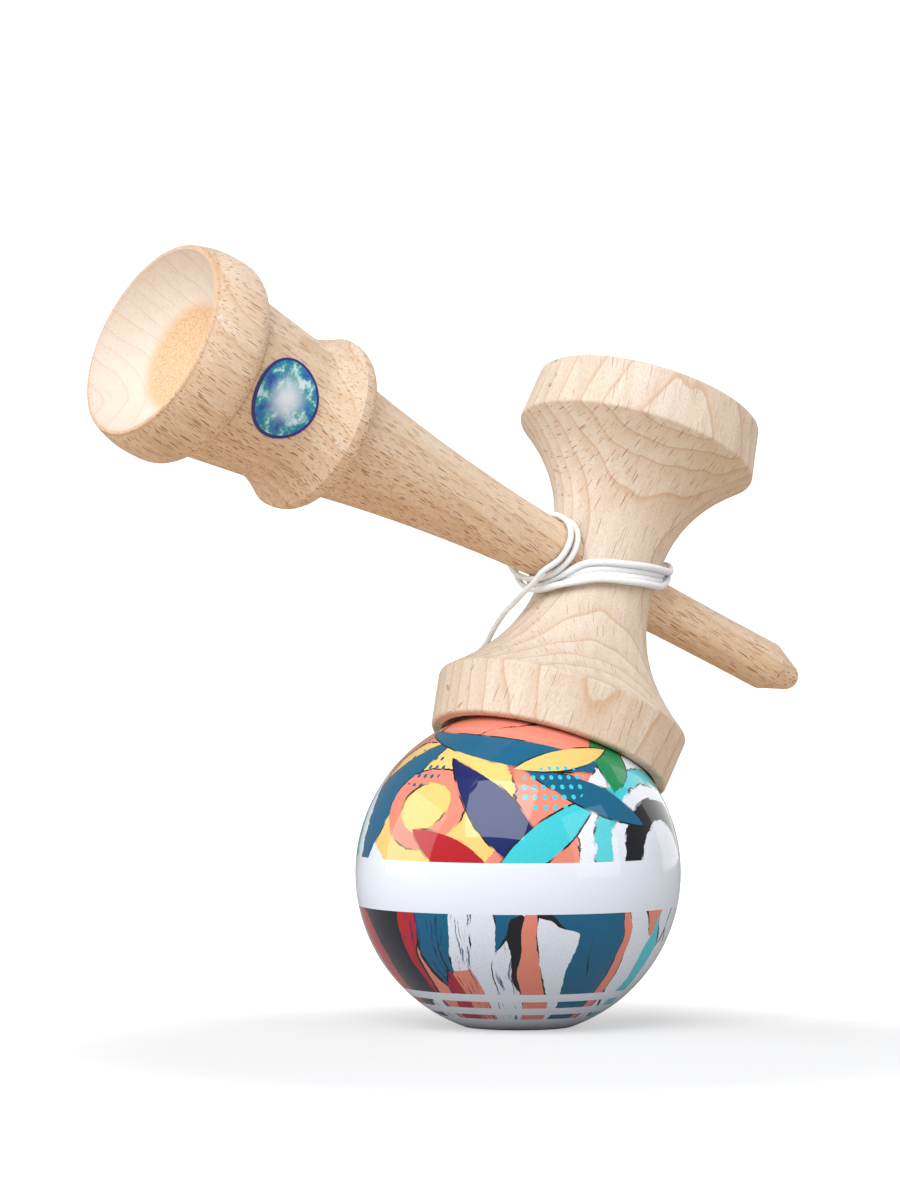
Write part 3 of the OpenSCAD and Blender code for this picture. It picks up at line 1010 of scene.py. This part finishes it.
    def tube(self, name: str, rows: np.ndarray, closed: bool) -> Thing:
        """A plaited tube along a path.

        Args:
            name: The piece's name.
            rows: Place in millimetres, way out and width of each ring.
            closed: Whether its end meets its start.

        Returns:
            The tube's object.
        """
        path, out, width = rows[:, :3], rows[:, 3:6], rows[:, 6]
        count = len(path)
        if closed:
            heading = np.roll(path, -1, axis=0) - np.roll(path, 1, axis=0)
        else:
            heading = np.gradient(path, axis=0)
        heading = unit(heading)
        side = np.zeros_like(path)
        side[0] = unit(np.cross(heading[0], self.first_side))
        for k in range(1, count):
            side[k] = unit(side[k - 1] - heading[k] * (side[k - 1] @ heading[k]))
        other = np.cross(heading, side)
        angle = np.linspace(0, 2 * math.pi, self.sides, endpoint=False)
        relief = self.plait(walk(path)[:, None], angle[None, :])
        radius = self.shown_d / 2 * (1 - self.plait_relief + self.plait_relief * relief)
        ring = np.cos(angle)[None, :, None] * side[:, None] + np.sin(angle)[None, :, None] * other[:, None]
        offset = radius[..., None] * ring
        flat = unit(np.cross(heading, out))
        offset += ((width - 1)[:, None] * np.einsum("ijk,ik->ij", offset, flat))[..., None] * flat[:, None]
        points = (path[:, None] + offset).reshape(-1, 3) * MM
        faces = []
        for i in range(count if closed else count - 1):
            low, high = i * self.sides, (i + 1) % count * self.sides
            for j in range(self.sides):
                k = (j + 1) % self.sides
                faces.append((low + j, low + k, high + k, high + j))
        if not closed:
            faces.append(tuple(range(self.sides))[::-1])
            faces.append(tuple((count - 1) * self.sides + j for j in range(self.sides)))
        piece = make_piece(name, points.tolist(), faces)
        piece.data.shade_smooth()
        return piece

    def knot(self, name: str, node: str) -> Thing:
        """An overhand knot that fills its CAD node's box.

        Args:
            name: The piece's name.
            node: The CAD node that it stands for.

        Returns:
            The knot's object.
        """
        low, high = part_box(node)
        middle = (low + high) / 2 / MM
        reach = max(high - low) / MM / 2 - self.string_d / 2
        t = np.linspace(0, 2 * math.pi, self.knot_rings, endpoint=False)
        x, y = np.sin(t) + 2 * np.sin(2 * t), np.cos(t) - 2 * np.cos(2 * t)
        loops = np.stack([x, y, -np.sin(3 * t)], axis=1)
        place = np.array(middle) + loops * np.array((reach / 3, reach / 3, self.knot_half))
        round_rows = np.tile((0.0, 0.0, 1.0, 1.0), (len(t), 1))
        return self.tube(name, np.hstack([place, round_rows]), closed=True)

    def build(self, finish: Material) -> None:
        """Makes the string and its knots, and ties them to the bodies that hold them.

        Args:
            finish: The string's material.
        """
        rows = self.route()
        cord = self.tube("string", rows, closed=False)
        cord.data.materials.append(finish)
        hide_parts("string_winding", "string_tail")
        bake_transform(cord)
        for name, node, body in (
            ("bead_knot", "string_bead_knot", "string_end"), ("neck_knot", "string_sarado_knot", "sarado"),
        ):
            knot = self.knot(name, node)
            knot.data.materials.append(finish)
            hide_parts(node)
            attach(knot, body)
            LOG.info("tied %s", name)


@dataclass(frozen=True)
class Softbox:
    """A rectangular soft light that looks at the middle of the object. Metres and watts."""

    name: str
    place: Point
    size: tuple[float, float]
    power: float
    colour: Colour = WHITE_LIGHT

    def build(self) -> Thing:
        """Makes the light.

        Returns:
            The light's object.
        """
        data = bpy.data.lights.new(self.name, "AREA")
        data.shape = "RECTANGLE"
        data.size, data.size_y = self.size
        data.energy = self.power
        data.color = self.colour
        light = bpy.data.objects.new(self.name, data)
        light.location = self.place
        light.rotation_euler = (LIGHTS_AIM - Vector(self.place)).to_track_quat("-Z", "Y").to_euler()
        bpy.context.scene.collection.objects.link(light)
        return light


@dataclass
class Studio:
    """Floor, backdrop, lights and camera. The camera's place is in millimetres from the ball's centre."""

    stance: Stance
    camera_place: Point = (-612.34, -842.28, 60.32)
    focal: float = 5651.8
    frame_height: float = 1200.0
    sensor: float = 36.0
    floor_reach: float = 2.5
    floor_glow: tuple[float, float] = (0.06, 0.15)
    floor_shift: float = 0.05
    near_glow: float = 0.47
    wall_far: float = 2.4
    wall_sides: int = 48
    wall_heights: tuple[float, float] = (-0.05, 2.6)
    ambient: float = 0.28
    floor_shade: Colour = (0.38, 0.38, 0.38)
    wall_shade: Colour = (0.9, 0.9, 0.9)
    clip: tuple[float, float] = (0.01, 50.0)
    softboxes: tuple[Softbox, ...] = (
        Softbox("key", (-0.7, -0.5, 1.0), (1.0, 1.0), 16.8, (0.97, 1.0, 1.05)),
        Softbox("left", (-0.95, 0.6, 0.4), (0.9, 0.9), 6.6),
        Softbox("right", (1.0, 0.35, 0.4), (0.9, 0.9), 2.6),
        Softbox("fill", (0.5, -1.2, 0.5), (0.9, 1.1), 5.4),
    )
    bounce: Softbox = Softbox("bounce", (0.0, 0.0, 0.003), (0.6, 0.6), 0.42, (1.0, 0.5, 0.0))

    def camera(self) -> None:
        """Puts the camera where the photograph was taken from."""
        data = bpy.data.cameras.new("camera")
        data.sensor_width = self.sensor
        data.lens = self.focal / self.frame_height * self.sensor
        camera = bpy.data.objects.new("camera", data)
        centre = Vector((0, 0, self.stance.ball_z))
        camera.location = (centre + Vector(self.camera_place)) * MM
        camera.rotation_euler = (-TO_CAMERA).to_track_quat("-Z", "Y").to_euler()
        data.clip_start, data.clip_end = self.clip
        bpy.context.scene.collection.objects.link(camera)
        bpy.context.scene.camera = camera

    def floor(self) -> None:
        """A pale floor that brightens into a white backdrop away from the object."""
        reach = self.floor_reach
        corners = [(-reach, -reach, 0), (reach, -reach, 0), (reach, reach, 0), (-reach, reach, 0)]
        floor = make_piece("floor", corners, [(0, 1, 2, 3)])
        graph = Graph("floor")
        far = graph.step(graph.away(FRONT * self.floor_shift), *self.floor_glow)
        glow = graph.lift(far, self.near_glow)
        graph.surface(
            Base_Color=self.floor_shade, Roughness=0.9, Specular_IOR_Level=0.1,
            Emission_Color=WHITE_LIGHT, Emission_Strength=glow,
        )
        floor.data.materials.append(graph.material)
        self.keep_glow(floor)

    @staticmethod
    def keep_glow(piece: Thing) -> None:
        """Keeps a stage piece's glow off the object, so that only the lights shade it.

        Args:
            piece: The stage piece.
        """
        stage = bpy.data.collections.new("lit_by_" + piece.name)
        stage.objects.link(piece)
        piece.light_linking.receiver_collection = stage

    def wall(self) -> None:
        """A white wall far round the object, which the room's light passes through."""
        turns = [2 * math.pi * k / self.wall_sides for k in range(self.wall_sides)]
        low, high = self.wall_heights
        far = self.wall_far
        corners = [(far * math.cos(a), far * math.sin(a), z) for a in turns for z in (low, high)]
        count = len(corners)
        faces = [(k, k + 1, (k + 3) % count, (k + 2) % count) for k in range(0, count, 2)]
        wall = make_piece("wall", corners, faces)
        wall.visible_diffuse = wall.visible_glossy = wall.visible_shadow = False
        graph = Graph("wall")
        graph.surface(Base_Color=self.wall_shade, Emission_Color=WHITE_LIGHT, Emission_Strength=1.0)
        wall.data.materials.append(graph.material)
        self.keep_glow(wall)

    def backdrop(self) -> None:
        """Even soft light from all round."""
        world = bpy.data.worlds.new("backdrop")
        world.use_nodes = True
        background = world.node_tree.nodes["Background"]
        background.inputs["Color"].default_value = (1, 1, 1, 1)
        background.inputs["Strength"].default_value = self.ambient
        bpy.context.scene.world = world
        bpy.context.scene.view_settings.view_transform = "Standard"

    def warm_bounce(self) -> None:
        """Warm light from the floor, for the undersides of the wood only."""
        light = self.bounce.build()
        light.visible_camera = False
        light.visible_glossy = False
        wood = bpy.data.collections.new("lit_by_bounce")
        for node in ("ken", "sarado"):
            wood.objects.link(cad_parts[node])
        light.light_linking.receiver_collection = wood

    def build(self) -> None:
        """Makes the stage, the lights and the camera."""
        self.camera()
        self.floor()
        self.wall()
        self.backdrop()
        for softbox in self.softboxes:
            softbox.build()
        self.warm_bounce()
        LOG.info("studio ready")


def across(grain: Vector, turn: float) -> Vector:
    """A direction square to the grain, turned so many degrees from the camera's side."""
    flat = (TO_CAMERA - grain * TO_CAMERA.dot(grain)).normalized()
    return Matrix.Rotation(math.radians(turn), 3, grain) @ flat


@dataclass
class Ken:
    """The turned handle with its base cup, and the label on its waist. Millimetres."""

    stance: Stance
    base_inner_d: float = 35.4
    base_depth: float = 10.0
    patch_r: float = 11.0
    flange_end: float = 13.4
    collar_end: float = 39.9
    grain_tilt: float = -7.0
    sticker_d: float = 14.6

    def cup(self) -> CupWood:
        """The wood inside the base cup.

        Returns:
            The cup's finish.
        """
        ball_r = ((self.base_inner_d / 2) ** 2 + self.base_depth ** 2) / (2 * self.base_depth)
        bottom = self.base_depth - self.stance.base_to_axis
        return CupWood(
            self.stance.put((bottom - ball_r, 0, 0)) * MM, ball_r * MM,
            self.stance.put((-self.stance.base_to_axis, 0, 0)) * MM, self.stance.turn() @ Vector((1, 0, 0)),
            self.stance.put((bottom, 0, 0)) * MM, self.patch_r * MM,
            pale=linear(221, 210, 197), patch=linear(222, 188, 152), speck=linear(202, 153, 107),
            # Painted shade lines in the creases where the flange meets the waist and the collar meets the
            # shaft.
            shaded_crease_depths=(self.flange_end * MM, self.collar_end * MM),
        )

    def dress(self) -> None:
        """Gives the ken and its label their finishes."""
        tilt = Matrix.Rotation(math.radians(self.grain_tilt), 3, TO_CAMERA)
        along = tilt @ self.stance.turn() @ Vector((1, 0, 0))
        dress("ken", Beech(
            "ken_beech", along, across(along, 15), pale=linear(231, 211, 188), deep=linear(221, 194, 163),
            ring=linear(198, 152, 110), fleck=linear(140, 58, 14), fleck_strength=0.92, ring_strength=0.3,
            pith=(-60.0, 8.0), fleck_length=4.6, fleck_width=0.14, cup=self.cup(),
        ).material())
        low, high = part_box("ken_sticker")
        dress("ken_sticker", VinylLabel((low + high) / 2, self.sticker_d / 2 * MM).material())


@dataclass
class Sarado:
    """The turned cross-piece with the two side cups."""

    stance: Stance

    def dress(self) -> None:
        """Gives the sarado its finish."""
        up = self.stance.turn() @ Vector((0, 0, 1))
        dress("sarado", Beech(
            "sarado_beech", up, across(up, 28), pale=linear(224, 212, 196), deep=linear(216, 200, 180),
            ring=linear(194, 150, 110), fleck=linear(146, 82, 42), fleck_strength=0.85, ring_strength=0.44,
            pith=(-70.0, 4.0), fleck_length=6.0, fleck_width=0.105, fleck_gap=2.6, fleck_depth=1.2,
        ).material())


@dataclass
class Tama:
    """The lacquered ball and the bead inside it."""

    stance: Stance

    def dress(self) -> None:
        """Gives the ball and the bead their finishes."""
        dress("tama", PrintedLacquer(Vector((0, 0, self.stance.ball_z)) * MM, FRONT).material())
        dress("tama_bead", Beech(
            "bead_beech", Vector((0, 0, 1)), Vector((1, 0, 0)), pale=linear(226, 196, 160),
            deep=linear(214, 178, 140), ring=linear(198, 150, 108), fleck=linear(150, 100, 62),
            fleck_strength=0.6, ring_strength=0.3, pith=(-20.0, 0.0),
        ).material())


def main() -> None:
    """Builds the kendama's looks and its studio, piece by piece."""
    logging.basicConfig(level=logging.INFO, format="%(message)s")
    stance = Stance()
    Studio(stance).build()
    StringCord(stance).build(BraidFinish().material())
    for piece in (Ken(stance), Sarado(stance), Tama(stance)):
        piece.dress()


if __name__ == "__main__":
    main()
